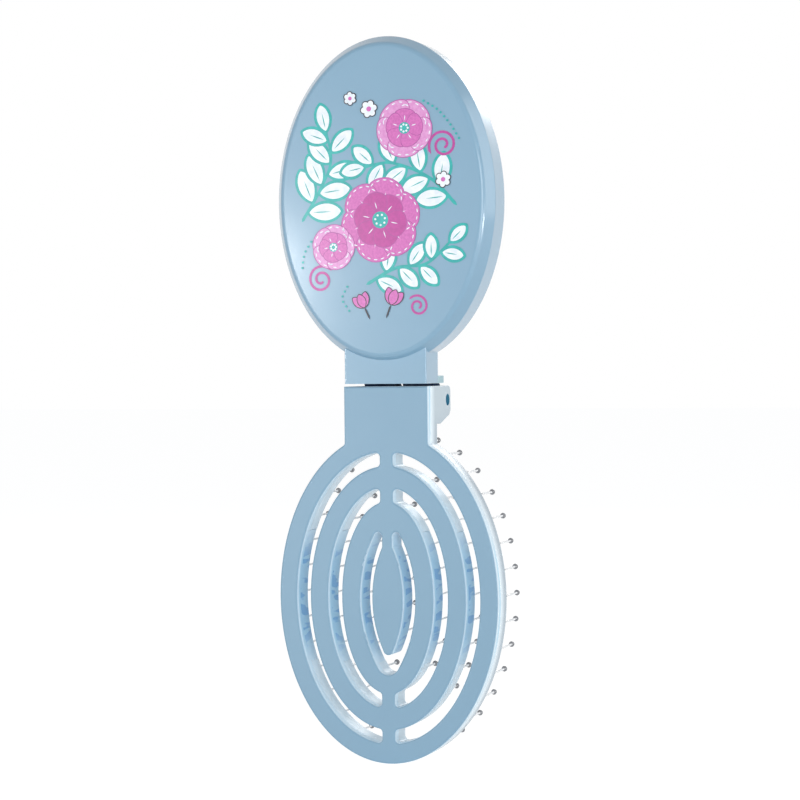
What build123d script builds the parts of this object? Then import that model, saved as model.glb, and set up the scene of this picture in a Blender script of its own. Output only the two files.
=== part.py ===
"""Folding hairbrush with a mirror: a vented brush head and an oval mirror lid on one pin hinge.

Millimetres, +Z up, the brush open and upright with its bristles and mirror towards +Y.
The origin is the middle of the brush head's oval, on its flat outer face.
"""
from build123d import *
import os

os.makedirs("parts", exist_ok=True)

# Brush head: a coloured front plate (y = 0 is its outer face) on a white bristle carrier
HEAD_HALF = (28.9, 41.5)  # half width and half height of the head's oval
NECK_HALF_WIDTH = 11.1
NECK_TOP = 52.9
NECK_CORNER = 1.0  # radius where the neck runs into the oval
PLATE_THICK = 2.3
HEAD_THICK = 7.7  # plate and carrier together
FRONT_EDGE = 0.5  # rounding of every edge of the plate's face
BACK_EDGE = 0.6  # rounding round the carrier's back
SEAM_BEVEL = 0.15  # on plate and carrier, so that a fine groove marks where they meet

# Vents: two broken ovals and a leaf-shaped slot round an island
OUTER_VENT = ((24.15, 36.5), (20.65, 33.05))  # outer and inner half sizes of the slot
MIDDLE_VENT = ((15.75, 27.7), (12.2, 24.1))
BRIDGE_WIDTH = 3.6  # what joins one ring to the next, at the top and the bottom
VENT_CORNER = 1.0
LEAF_HALF_WIDTH = 7.2
LEAF_ARC = 35.2  # radius of the leaf's two sides
LEAF_MIDDLE = -0.2  # height of the leaf's widest place
LEAF_TIP = 2.9
LEAF_BRIDGE = 2.8
ISLAND_HALF_WIDTH = 4.15
ISLAND_TIP = 1.4

# Collars: thin walls of the plate that line the middle of its vents and plug into the carrier
COLLAR_THICK = 0.55
COLLAR_ROOM = 0.6  # how much wider than the vents the carrier's openings are at the collars
COLLAR_BACK = 7.2  # y where the collars end
COLLAR_REACH = 16.5  # above and below the middle
VENT_STEP = 0.08  # beyond the collars, the carrier's openings are this much wider than the vents

# Bristles: nylon pins dropped in from the front, held by the plate, with a ball at the tip
PIN_HEAD = (0.9, 0.8)  # radius and thickness of the head under the plate
SHANK_RADIUS = 0.25
HOLE_CLEARANCE = 0.04
BALL_RADIUS = 0.75
BALL_DEPTH = 21.6  # y of the ball's middle
RIM_ROW = (27.3, 39.9)  # half sizes of the oval that each row of bristles follows
OUTER_ROW = (18.2, 30.4)
INNER_ROW = (9.8, 22.2)
RIM_COUNT = 32
OUTER_COUNT = 24
INNER_COUNT = 16
ISLAND_HEIGHTS = (-9.6, -3.2, 3.2, 9.6)

# Press pegs behind the plate
PEG_RADIUS = 0.9
PEG_LENGTH = 3.0
PEG_CLEARANCE = 0.05
NECK_PEG = (7.0, 46.5)
RING_PEGS = (5, 19, 29, 43)  # along the outer row, in half steps from bristle to bristle

# Hinge: two ears on the carrier, two lugs on the lid's frame, one pin along X
HINGE_Y = 16.0
HINGE_Z = 49.25
EAR_THICK = 1.5
EAR_ROOT = 1.0  # how far the ears reach into the carrier
EAR_CORNER = 1.5
EAR_EDGE = 0.3
EAR_PROFILE = ((18.5, NECK_TOP), (18.5, 46.5), (17.4, 45.3), (10.6, 43.3))  # (y, z) down its back
PIN_RADIUS = 1.4
PIN_RUNNING = 0.05  # clearance in the lugs
PIN_HALF_LENGTH = 10.3
PIN_BAND = 0.5  # length of the thicker bands that grip the ears
PIN_END = 0.2  # bevel at its ends
LUG_RADIUS = 2.6
LUG_FRONT = 9.9
LUG_FOOT = 1.0  # how far the lugs reach up into the flange
LUG_SIDE_GAP = 0.4
LUG_SLIT = 2.2

# Mirror lid: a coloured cover, a frame with the hinge lugs, and the mirror
LID_HALF = (28.7, 41.0)
LID_MIDDLE = 99.25
LID_FACE = -2.4  # y of the face at its middle
LID_BACK = 9.2
LID_CROWN = 900.0  # radius of the slightly domed face
LID_BEVEL = (2.1, 3.5)  # in plan and in depth
BEVEL_ROUNDING = (1.5, 0.5)  # where the bevel meets the face and where it meets the side
LID_NECK_HALF_WIDTH = 10.8
LID_NECK_EDGE = 0.35
HINGE_GAP = 0.65  # between the two necks
NECK_BOTTOM = NECK_TOP + HINGE_GAP
LID_WALL = 1.6
NECK_SKIN = 1.8
TRAY_FLOOR = 0.3  # y of the bottom of the hollow behind the face
LEDGE = 1.4  # width of the step that the frame rests on
POST_RADIUS = 2.2
POST_PEG = 1.2  # how far each post's peg goes into the frame
POST_PLACES = (13.0, 21.0)  # to each side of the lid's middle, and above and below it

FRAME_FRONT = 4.4
FRAME_BACK = 8.7
FRAME_RIM = 1.7
FRAME_EDGE = 0.3
INSERT_HEIGHT = 10.0  # of the block that fills the cover's neck
FLANGE_BACK = 13.8
FLANGE_TOP = 55.4
MIRROR_THICK = 1.8
MIRROR_RECESS = 0.4
MIRROR_BEVEL = 0.3
PAD_THICK = 0.4
PAD_MARGIN = 2.0
FIT_GAP = 0.05  # round the frame, the mirror and the pad


def at_depth(y):
    """A sketch plane facing the front, with X to the right and Z up."""
    return Plane.XZ.offset(-y)


def grown(half, by):
    return half[0] + by, half[1] + by


def row_points(half, count):
    """Evenly spaced points along an oval, the first at its right-hand end."""
    with BuildLine() as row:
        EllipticalCenterArc((0, 0), *half, start_angle=0, arc_size=90)
    steps = count // 4
    quarter = [row.line @ (step / steps) for step in range(steps + 1)]
    first = [(point.X, point.Y) for point in quarter]
    second = [(-x, z) for x, z in reversed(first[1:-1])]
    upper = first + second
    lower = [(-x, -z) for x, z in upper]
    return upper + lower


def broken_ring(vent, grow):
    """Both halves of an oval slot, cut off at the bridges."""
    outer, inner = vent
    with BuildSketch() as ring:
        Ellipse(*grown(outer, grow))
        Ellipse(*grown(inner, -grow), mode=Mode.SUBTRACT)
        Rectangle(BRIDGE_WIDTH - 2 * grow, 2 * HEAD_HALF[1], mode=Mode.SUBTRACT)
        fillet(ring.vertices(), VENT_CORNER + grow)
    return ring.sketch


def leaf(half_width, tip):
    """A leaf with two round sides and a rounded lower tip."""
    to_middle = LEAF_ARC - LEAF_HALF_WIDTH
    with BuildSketch() as shape:
        with Locations((-to_middle, LEAF_MIDDLE)):
            Circle(to_middle + half_width)
        with Locations((to_middle, LEAF_MIDDLE)):
            Circle(to_middle + half_width, mode=Mode.INTERSECT)
        fillet(shape.vertices().sort_by(Axis.Y)[0], tip)
    return shape.sketch


def leaf_slot(grow):
    """The slot round the island, broken by a bridge at the top."""
    with BuildSketch() as slot:
        add(leaf(LEAF_HALF_WIDTH + grow, LEAF_TIP + grow))
        add(leaf(ISLAND_HALF_WIDTH - grow, ISLAND_TIP - grow), mode=Mode.SUBTRACT)
        with Locations((0, HEAD_HALF[1] / 2)):
            Rectangle(LEAF_BRIDGE - 2 * grow, HEAD_HALF[1], mode=Mode.SUBTRACT)
        fillet(slot.vertices().group_by(Axis.Y)[-1], VENT_CORNER + grow)
    return slot.sketch


def vents(grow=0.0):
    """Every opening of the head, each grown all round."""
    with BuildSketch() as openings:
        add(broken_ring(OUTER_VENT, grow))
        add(broken_ring(MIDDLE_VENT, grow))
        add(leaf_slot(grow))
    return openings.sketch


def head_outline():
    with BuildSketch() as outline:
        Ellipse(*HEAD_HALF)
        with Locations((0, NECK_TOP / 2)):
            Rectangle(2 * NECK_HALF_WIDTH, NECK_TOP)
        corners = outline.vertices().filter_by(lambda v: abs(v.Y - NECK_TOP) > 1)
        fillet(corners.filter_by(lambda v: v.Y > 0), NECK_CORNER)
    return outline.sketch


RIM_POINTS = row_points(RIM_ROW, RIM_COUNT)
OUTER_POINTS = row_points(OUTER_ROW, OUTER_COUNT)
INNER_POINTS = row_points(INNER_ROW, INNER_COUNT)
ISLAND_POINTS = [(0, height) for height in ISLAND_HEIGHTS]
ALL_POINTS = RIM_POINTS + OUTER_POINTS + INNER_POINTS + ISLAND_POINTS
HALF_STEPS = row_points(OUTER_ROW, 2 * OUTER_COUNT)
PEG_POINTS = [HALF_STEPS[step] for step in RING_PEGS]
PEG_POINTS += [NECK_PEG, (-NECK_PEG[0], NECK_PEG[1])]
HEAD = head_outline()
VENTS = vents()


def collar_zone(grow, spare=0.0):
    """The vents grown all round, as far up and down as the collars reach."""
    with BuildSketch() as zone:
        add(vents(grow))
        Rectangle(2 * HEAD_HALF[0], 2 * (COLLAR_REACH + spare), mode=Mode.INTERSECT)
    return zone.sketch


# Front plate: flat, with rounded edges, collars round its vents and pegs behind
with BuildPart() as brush_front_plate:
    with BuildSketch(at_depth(PLATE_THICK)):
        add(HEAD)
        add(VENTS, mode=Mode.SUBTRACT)
    extrude(amount=PLATE_THICK)
    fillet(brush_front_plate.faces().sort_by(Axis.Y)[0].edges(), FRONT_EDGE)
    chamfer(brush_front_plate.faces().sort_by(Axis.Y)[-1].outer_wire().edges(), SEAM_BEVEL)
    with BuildSketch(at_depth(PLATE_THICK)):
        add(collar_zone(COLLAR_THICK))
        add(VENTS, mode=Mode.SUBTRACT)
    extrude(amount=-(COLLAR_BACK - PLATE_THICK))
    with BuildSketch(at_depth(PLATE_THICK)):
        with Locations(*PEG_POINTS):
            Circle(PEG_RADIUS)
    extrude(amount=-PEG_LENGTH)


# Bristle carrier: a rim, a web behind each ring with room for the collars, and the two hinge ears
with BuildPart() as bristle_carrier:
    with BuildSketch(at_depth(HEAD_THICK)):
        add(HEAD)
        add(vents(VENT_STEP), mode=Mode.SUBTRACT)
        add(collar_zone(COLLAR_ROOM, COLLAR_ROOM - COLLAR_THICK), mode=Mode.SUBTRACT)
    extrude(amount=HEAD_THICK - PLATE_THICK)
    chamfer(bristle_carrier.faces().sort_by(Axis.Y)[0].outer_wire().edges(), SEAM_BEVEL)
    fillet(bristle_carrier.faces().sort_by(Axis.Y)[-1].outer_wire().edges(), BACK_EDGE)

    with BuildSketch(Plane.YZ.offset(NECK_HALF_WIDTH - EAR_THICK)) as ear:
        with BuildLine():
            Polyline(
                (HEAD_THICK - EAR_ROOT, NECK_TOP),
                *EAR_PROFILE,
                (HEAD_THICK - EAR_ROOT, EAR_PROFILE[-1][1]),
                close=True,
            )
        make_face()
        fillet(ear.vertices().group_by(Axis.Y)[-1].sort_by(Axis.X)[-1], EAR_CORNER)
    extrude(amount=EAR_THICK)
    mirror(about=Plane.YZ)
    outer_edges = bristle_carrier.edges().filter_by(
        lambda e: abs(e.center().X) > NECK_HALF_WIDTH - 0.01 and e.center().Y > HEAD_THICK + 0.5
    )
    fillet(outer_edges, EAR_EDGE)

    with BuildSketch(Plane.YZ):
        with Locations((HINGE_Y, HINGE_Z)):
            Circle(PIN_RADIUS + PIN_RUNNING)
    extrude(amount=2 * NECK_HALF_WIDTH, both=True, mode=Mode.SUBTRACT)

    with BuildSketch(at_depth(PLATE_THICK)):
        with Locations(*ALL_POINTS):
            Circle(SHANK_RADIUS + HOLE_CLEARANCE)
    extrude(amount=-HEAD_THICK, mode=Mode.SUBTRACT)
    with BuildSketch(at_depth(PLATE_THICK)):
        with Locations(*ALL_POINTS):
            Circle(PIN_HEAD[0] + HOLE_CLEARANCE)
    extrude(amount=-PIN_HEAD[1], mode=Mode.SUBTRACT)
    with BuildSketch(at_depth(PLATE_THICK)):
        with Locations(*PEG_POINTS):
            Circle(PEG_RADIUS + PEG_CLEARANCE)
    extrude(amount=-PEG_LENGTH - PEG_CLEARANCE, mode=Mode.SUBTRACT)


# One bristle, its axis along Y: head, straight shank and ball
with BuildPart() as bristle:
    with BuildSketch(Plane.XY):
        with BuildLine():
            head_back = PLATE_THICK + PIN_HEAD[1]
            tip = BALL_DEPTH + BALL_RADIUS
            ball_start = BALL_DEPTH - (BALL_RADIUS**2 - SHANK_RADIUS**2) ** 0.5
            Polyline(
                (0, tip),
                (0, PLATE_THICK),
                (PIN_HEAD[0], PLATE_THICK),
                (PIN_HEAD[0], head_back),
                (SHANK_RADIUS, head_back),
                (SHANK_RADIUS, ball_start),
            )
            ThreePointArc((SHANK_RADIUS, ball_start), (BALL_RADIUS, BALL_DEPTH), (0, tip))
        make_face()
    revolve(axis=Axis.Y)


def bristle_row(points):
    with BuildPart() as row:
        for x, z in points:
            add(bristle.part.moved(Location((x, 0, z))))
    return row.part


rim_bristles = bristle_row(RIM_POINTS)
outer_ring_bristles = bristle_row(OUTER_POINTS)
inner_ring_bristles = bristle_row(INNER_POINTS)
island_bristles = bristle_row(ISLAND_POINTS)


# Hinge pin: it turns freely in the lid's lugs, and its two thicker bands grip the ears
with BuildPart() as hinge_pin:
    with BuildSketch(Plane.YZ):
        with Locations((HINGE_Y, HINGE_Z)):
            Circle(PIN_RADIUS)
    extrude(amount=PIN_HALF_LENGTH, both=True)
    chamfer(hinge_pin.edges().filter_by(GeomType.CIRCLE), PIN_END)
    for side in (-1, 1):
        with BuildSketch(Plane.YZ.offset(side * (NECK_HALF_WIDTH - EAR_THICK))):
            with Locations((HINGE_Y, HINGE_Z)):
                Circle(PIN_RADIUS + PIN_RUNNING)
        extrude(amount=side * PIN_BAND)


def lid_oval(inset):
    with BuildSketch() as shape:
        with Locations((0, LID_MIDDLE)):
            Ellipse(*grown(LID_HALF, -inset))
    return shape.sketch


def lid_neck(half_width, height):
    with BuildSketch() as shape:
        with Locations((0, NECK_BOTTOM + height / 2)):
            Rectangle(2 * half_width, height)
    return shape.sketch


POST_POINTS = [(x, LID_MIDDLE + z) for x in (-POST_PLACES[0], POST_PLACES[0])
               for z in (-POST_PLACES[1], POST_PLACES[1])]


# Lid cover: a domed oval tray with a bevelled edge, and the front and sides of the neck
with BuildPart() as lid_cover:
    with BuildSketch(at_depth(LID_BACK)):
        add(lid_oval(0))
    extrude(amount=LID_BACK - LID_FACE)
    with Locations((0, LID_FACE + LID_CROWN, LID_MIDDLE)):
        Sphere(LID_CROWN, mode=Mode.INTERSECT)
    domed_face = lid_cover.faces().sort_by(Axis.Y)[0]
    chamfer(domed_face.edges(), *LID_BEVEL, reference=domed_face)
    rings = lid_cover.edges().filter_by(lambda e: e.is_closed).sort_by(Axis.Y)
    fillet(rings[1], BEVEL_ROUNDING[1])
    rings = lid_cover.edges().filter_by(lambda e: e.is_closed).sort_by(Axis.Y)
    fillet(rings[0], BEVEL_ROUNDING[0])

    with BuildSketch(Plane.XY.offset(NECK_BOTTOM)) as neck:
        with Locations((0, LID_BACK / 2)):
            Rectangle(2 * LID_NECK_HALF_WIDTH, LID_BACK)
        fillet(neck.vertices().group_by(Axis.Y)[0], LID_NECK_EDGE)
    extrude(amount=LID_MIDDLE - NECK_BOTTOM)

    # From the back: the frame's seat, the hollow behind the face, and the neck's channel
    with BuildSketch(at_depth(LID_BACK)):
        add(lid_oval(LID_WALL))
        add(lid_neck(LID_NECK_HALF_WIDTH - LID_WALL, LID_MIDDLE - NECK_BOTTOM))
    extrude(amount=LID_BACK - FRAME_FRONT, mode=Mode.SUBTRACT)
    with BuildSketch(at_depth(FRAME_FRONT)):
        add(lid_oval(LID_WALL + LEDGE))
        with Locations(*POST_POINTS):
            Circle(POST_RADIUS, mode=Mode.SUBTRACT)
    extrude(amount=FRAME_FRONT - TRAY_FLOOR, mode=Mode.SUBTRACT)
    with BuildSketch(at_depth(FRAME_FRONT)):
        add(lid_neck(LID_NECK_HALF_WIDTH - LID_WALL, INSERT_HEIGHT + FIT_GAP))
    extrude(amount=FRAME_FRONT - NECK_SKIN, mode=Mode.SUBTRACT)
    with BuildSketch(at_depth(FRAME_FRONT)):
        with Locations(*POST_POINTS):
            Circle(PEG_RADIUS)
    extrude(amount=-POST_PEG)


# Lid frame: carries the mirror, closes the neck and ends in the stop flange and the lugs
with BuildPart() as lid_frame:
    with BuildSketch(at_depth(FRAME_BACK)):
        add(lid_oval(LID_WALL + FIT_GAP))
    extrude(amount=FRAME_BACK - FRAME_FRONT)
    with BuildSketch(at_depth(LID_BACK)):
        add(lid_neck(LID_NECK_HALF_WIDTH - LID_WALL - FIT_GAP, INSERT_HEIGHT))
    extrude(amount=LID_BACK - NECK_SKIN - FIT_GAP)

    with BuildSketch(at_depth(LID_BACK)):
        add(lid_oval(LID_WALL + FRAME_RIM))
    extrude(amount=LID_BACK - FRAME_BACK + MIRROR_RECESS + MIRROR_THICK + PAD_THICK, mode=Mode.SUBTRACT)
    with BuildSketch(at_depth(FRAME_FRONT)):
        with Locations(*POST_POINTS):
            Circle(PEG_RADIUS + PEG_CLEARANCE)
    extrude(amount=-POST_PEG - PEG_CLEARANCE, mode=Mode.SUBTRACT)
    back_edges = lid_frame.faces().filter_by(Axis.Y).sort_by(Axis.Y)[-2:].edges()
    chamfer(back_edges.filter_by(lambda e: e.geom_type == GeomType.ELLIPSE), FRAME_EDGE)

    with BuildSketch(Plane.YZ.offset(-LID_NECK_HALF_WIDTH)) as flange:
        with Locations(((LID_BACK + FLANGE_BACK) / 2, (NECK_BOTTOM + FLANGE_TOP) / 2)):
            Rectangle(FLANGE_BACK - LID_BACK, FLANGE_TOP - NECK_BOTTOM)
        fillet(flange.vertices().group_by(Axis.X)[-1], FRAME_EDGE)
    extrude(amount=2 * LID_NECK_HALF_WIDTH)
    lug_half = NECK_HALF_WIDTH - EAR_THICK - LUG_SIDE_GAP
    with BuildSketch(Plane.YZ.offset(-lug_half)):
        with Locations((HINGE_Y, HINGE_Z)):
            Circle(LUG_RADIUS)
        with Locations(((LUG_FRONT + FLANGE_BACK) / 2, NECK_BOTTOM + LUG_FOOT / 2)):
            Rectangle(FLANGE_BACK - LUG_FRONT, LUG_FOOT)
        make_hull()
    extrude(amount=2 * lug_half)
    with BuildSketch(Plane.YZ.offset(-LUG_SLIT / 2)):
        with Locations((HINGE_Y, HINGE_Z)):
            Rectangle(6 * LUG_RADIUS, 2 * (NECK_BOTTOM - HINGE_Z))
    extrude(amount=LUG_SLIT, mode=Mode.SUBTRACT)
    with BuildSketch(Plane.YZ):
        with Locations((HINGE_Y, HINGE_Z)):
            Circle(PIN_RADIUS + PIN_RUNNING)
    extrude(amount=2 * lug_half, both=True, mode=Mode.SUBTRACT)


with BuildPart() as mirror_glass:
    with BuildSketch(at_depth(FRAME_BACK - MIRROR_RECESS)):
        add(lid_oval(LID_WALL + FRAME_RIM + FIT_GAP))
    extrude(amount=MIRROR_THICK)
    chamfer(mirror_glass.faces().sort_by(Axis.Y)[-1].edges(), MIRROR_BEVEL)

with BuildPart() as mirror_pad:
    with BuildSketch(at_depth(FRAME_BACK - MIRROR_RECESS - MIRROR_THICK)):
        add(lid_oval(LID_WALL + FRAME_RIM + PAD_MARGIN))
    extrude(amount=PAD_THICK)


PARTS = {
    "brush_front_plate": brush_front_plate.part,
    "bristle_carrier": bristle_carrier.part,
    "rim_bristles": rim_bristles,
    "outer_ring_bristles": outer_ring_bristles,
    "inner_ring_bristles": inner_ring_bristles,
    "island_bristles": island_bristles,
    "hinge_pin": hinge_pin.part,
    "lid_cover": lid_cover.part,
    "lid_frame": lid_frame.part,
    "mirror_glass": mirror_glass.part,
    "mirror_pad": mirror_pad.part,
}
for name, part in PARTS.items():
    part.label = name
    export_step(part, f"parts/{name}.step")
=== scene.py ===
"""Folding hairbrush with a mirror lid: finishes, bristles and the printed lid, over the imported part.

Metres, +Z up, with the bristles and the mirror towards +Y. MM turns millimetres into metres.
"""
import math

import bmesh
import bpy
from mathutils import Matrix, Vector


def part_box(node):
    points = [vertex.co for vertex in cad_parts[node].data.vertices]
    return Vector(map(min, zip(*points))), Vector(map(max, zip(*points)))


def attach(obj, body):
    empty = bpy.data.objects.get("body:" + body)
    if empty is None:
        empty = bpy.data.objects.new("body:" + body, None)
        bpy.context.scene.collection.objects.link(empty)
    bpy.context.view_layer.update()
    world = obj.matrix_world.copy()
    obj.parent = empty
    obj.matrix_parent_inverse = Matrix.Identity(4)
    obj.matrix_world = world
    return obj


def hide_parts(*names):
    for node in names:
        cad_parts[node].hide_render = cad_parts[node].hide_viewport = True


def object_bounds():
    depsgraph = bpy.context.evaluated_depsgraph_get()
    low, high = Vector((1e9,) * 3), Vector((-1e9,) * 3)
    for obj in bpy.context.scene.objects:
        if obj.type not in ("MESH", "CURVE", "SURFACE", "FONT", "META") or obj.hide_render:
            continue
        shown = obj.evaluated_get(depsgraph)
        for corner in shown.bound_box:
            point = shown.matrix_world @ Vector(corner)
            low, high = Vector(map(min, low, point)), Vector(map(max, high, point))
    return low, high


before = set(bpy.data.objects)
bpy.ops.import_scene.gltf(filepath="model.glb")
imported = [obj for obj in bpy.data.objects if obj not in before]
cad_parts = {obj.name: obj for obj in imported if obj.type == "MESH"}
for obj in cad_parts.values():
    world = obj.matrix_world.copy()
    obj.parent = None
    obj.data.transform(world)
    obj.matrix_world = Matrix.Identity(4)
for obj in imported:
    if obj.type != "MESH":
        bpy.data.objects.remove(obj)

MM = 0.001
CAD_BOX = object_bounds()

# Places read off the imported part
FLOOR_Z = CAD_BOX[0].z
GLASS_LOW, GLASS_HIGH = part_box("mirror_glass")
COVER_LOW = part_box("lid_cover")[0]
LID_MIDDLE_Z = (GLASS_LOW.z + GLASS_HIGH.z) / 2
LID_FACE_Y = COVER_LOW.y
LID_CROWN = 900 * MM  # radius of the ball that the cover's face is part of
PIN_LOW, PIN_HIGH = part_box("hinge_pin")
PIN_MIDDLE = (PIN_LOW + PIN_HIGH) / 2
PIN_REACH = (PIN_HIGH.z - PIN_LOW.z) / 2 + 0.08 * MM  # just past the walls of the pin's holes
CARRIER_LOW, CARRIER_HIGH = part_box("bristle_carrier")
BRISTLE_LOW, BRISTLE_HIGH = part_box("rim_bristles")
BRISTLE_ROOT_Y = BRISTLE_LOW.y
BRISTLE_TIP_Y = BRISTLE_HIGH.y

# Bristles
BALL_RADIUS = 0.75 * MM
SHANK_RADIUS = 0.25 * MM
HEAD_RADIUS = 0.9 * MM
HEAD_THICK = 0.8 * MM
BRISTLE_SIDES = 14
BALL_RINGS = 7
ROW_COUNTS = {"rim_bristles": 32, "outer_ring_bristles": 24, "inner_ring_bristles": 16}
ISLAND_COUNT = 4
OVAL_STEPS = 128

# Print on the lid: thin films of ink, each laid a hair above the last
FIRST_FILM = 0.012 * MM
FILM_STEP = 0.0008 * MM
MERGE_REACH = 0.0001 * MM  # points of a film nearer than this are one
ACROSS_STRIP = (0, 0.25, 0.5, 0.75, 1)  # where a strip of ink has points across it
BLADE_STEPS = 14  # from the foot of a petal or a leaf to its tip
BORDER = 0.75 * MM  # teal edge round the white leaves
FINE_LINE = 0.22 * MM  # black edge round the daisies and tulips
DASH_HALF = (0.5 * MM, 0.14 * MM)  # half length and half width of a dash round a petal
DASH_PITCH = 1.7 * MM
DOT_PITCH = 1.25 * MM
DOT_RADIUS = 0.3 * MM
MARK_SIDES = 12
MARK_LIFT = 0.16 * MM  # dashes and dots lie over every film

# Its petals and leaves, each with how pointed it is and how far it leans out, as blade_rungs says
ROUND = (0.5, 1.0)
PETAL = (0.6, 1.6)
LEAF = (0.72, 1.05)
DAISY_PETAL = (0.5, 1.3)
TULIP_PETAL = (0.75, 1.0)
PETAL_FILL = 0.8  # half width as a share of the half width at which petals would touch
PETAL_EDGE = 0.18 * MM
PETAL_VEIN = (0.4, 0.5, 0.6, 0.68)  # shares of the way to the tip
PETAL_VEIN_PEN = (0.16 * MM, 0.6)  # a pen is a stroke's half width and how much thinner it ends
STITCH_INSET = 0.5 * MM  # from a petal's edge to its dashes
INNER_RING = 0.66  # length of the inner petals as a share of the outer ones'
HEART = 0.2  # radius as a share of the flower's
SEEDS = 7
SEED_RING = 0.62  # where they stand, as a share of the heart's radius
SEED_RADIUS = 0.28 * MM
STEM_PEN = (0.42 * MM, 0.3)
FIRST_LEAF = 0.12  # share of the stem before it
LEAFY_SHARE = 0.86  # share of the stem from the first leaf to the last
LEAF_SPLAY = 0.95  # radians from the stem
LEAF_SHRINK = 0.25  # about how much smaller the last leaf is
LEAF_FOOT = 0.6 * MM  # from the stem's middle to the leaf
LEAF_VEIN = (0.1, 0.3, 0.5, 0.7)
LEAF_VEIN_PEN = (0.18 * MM, 0.5)
DAISY_PETALS = 6
DAISY_WIDTH = 0.36  # half width of a petal as a share of its length
DAISY_HEART = 0.3  # radius, likewise
TULIP_WIDTH = 0.27  # half width of a petal as a share of the tulip's size
TULIP_SPLAYS = (0.5, -0.5, 0.0)  # radians from the stalk's line, the middle petal last
MIDDLE_PETAL = 0.9  # length of the middle petal, likewise
TULIP_STALK = 0.9  # length of the stalk, likewise
STALK_HALF_WIDTH = 0.2 * MM
CURL_IN = 0.82  # share of its radius that a curl loses from end to end

# Where a finish changes, and where light and shade are painted into it
WALL_SLOPE = (0.3, 0.8)  # how far the surface faces front or back, on a wall and on a face
HINGE_SHADE_EDGE = 0.2 * MM  # how softly the painted shade on the hinge lugs ends at their foot
HINGE_SHADE_WIPE = 0.8 * MM  # and how softly behind the pin
WALL_END_LIGHT = (9 * MM, 16 * MM)  # distances above and below the head's middle over which painted light on the vent walls grows
WALL_LIP_HIGHLIGHT = (0.7 * MM, 1.6 * MM)  # depths over which the painted highlight along their lip ends
COLLAR_FRONT = 2.2 * MM  # depth where the plate ends and the collars round its vents go on
PATCH_SIZE = 1.8 * MM  # of the deeper blue patches on the collars
PATCH_STRETCH = (1, 0.2, 1)  # draws them out from front to back
PATCH_EDGE = (0.53, 0.59)  # levels of the noise from no patch to a full one
NECK_FADE = (38 * MM, 47 * MM)  # heights over which the head's sides turn into the neck's
OUTER_SHADE_DEPTH = (3.0 * MM, 5.8 * MM)  # depths over which painted shade greys the carrier's outer side
RIM_SHARE = 0.9  # past this sum of squared shares of the way out, it is the outer side or the neck
SATIN_SPREAD = 0.03  # how far the roughness of satin strays
DAB_EDGE = (0.38, 0.62)  # levels of the noise from one tone of an ink to the other

# Stage: how strongly the floor and the room shine, where 1 is white
FLOOR_LIGHT = 0.22  # of the floor itself, as the brush gets it
FLOOR_SEEN = 0.89  # of the floor itself, as the camera sees it
FILL_LIGHT = 0.30  # of the room, as the brush gets it
FLOOR_HALF = 4.0  # half of the floor's side, in metres

# Softboxes: azimuth and elevation in degrees, distance, width and height in metres, power in watts
SOFTBOXES = {
    "low_left_softbox": (-32, 0.6, 0.8, 0.13, 0.13, 2.25),
    "right_softbox": (36, 6, 0.9, 0.4, 0.4, 2.1),
    "low_right_softbox": (75, -2.5, 0.9, 0.4, 0.09, 1.95),
    "side_softbox": (100, 22, 0.9, 0.25, 0.75, 1.3),
    "back_softbox": (178, 22, 0.9, 0.25, 0.25, 0.45),
}

# Camera: a long lens level with the hinge, turned a little to the brush's right-hand side.
# Angles are in degrees and distances in metres
CAMERA_AZIMUTH = 19.3
CAMERA_ELEVATION = 1.0
CAMERA_ROLL = -0.57
CAMERA_DISTANCE = 0.6
CAMERA_AIM = (3.87 * MM, 0, 49.5 * MM)
PIXELS_PER_MM = 4.02  # in the plane through the aim
FRAME_PIXELS = 800
SENSOR = 36  # its width, in millimetres
CLIP = (0.01, 100)  # nearest and farthest that it sees


def add_node(tree, kind, inputs=None, **settings):
    """Adds a node with its settings, and fills its inputs with values or with other nodes' outputs."""
    node = tree.nodes.new(kind)
    for name, value in settings.items():
        setattr(node, name, value)
    for name, value in (inputs or {}).items():
        if isinstance(value, bpy.types.NodeSocket):
            tree.links.new(value, node.inputs[name])
        else:
            node.inputs[name].default_value = value
    return node


def linear(hex_colour):
    """An sRGB hex colour as the linear RGBA that the shaders take."""
    channels = [int(hex_colour[i:i + 2], 16) / 255 for i in (1, 3, 5)]
    return [level / 12.92 if level <= 0.04045 else ((level + 0.055) / 1.055) ** 2.4
            for level in channels] + [1]


# ---------------------------------------------------------------- finishes

def new_finish(name):
    finish = bpy.data.materials.new(name)
    finish.use_nodes = True
    finish.node_tree.nodes.clear()
    return finish, finish.node_tree


def on_a_wall(tree):
    """1 on the walls that run back from the face, and 0 on the faces before and behind them."""
    facing = add_node(tree, "ShaderNodeTexCoord").outputs["Normal"]
    outward = add_node(tree, "ShaderNodeSeparateXYZ", {"Vector": facing}).outputs["Y"]
    flatness = add_node(tree, "ShaderNodeMath", {0: outward}, operation="ABSOLUTE")
    wall = add_node(tree, "ShaderNodeMapRange", {
        "Value": flatness.outputs[0], "From Min": WALL_SLOPE[0], "From Max": WALL_SLOPE[1],
        "To Min": 1.0, "To Max": 0.0})
    return wall.outputs[0]


def on_the_head(tree, height):
    """1 on the brush head, and fading to 0 on the neck."""
    fade = add_node(tree, "ShaderNodeMapRange", {
        "Value": height, "From Min": NECK_FADE[0], "From Max": NECK_FADE[1],
        "To Min": 1.0, "To Max": 0.0})
    return fade.outputs[0]


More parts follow.
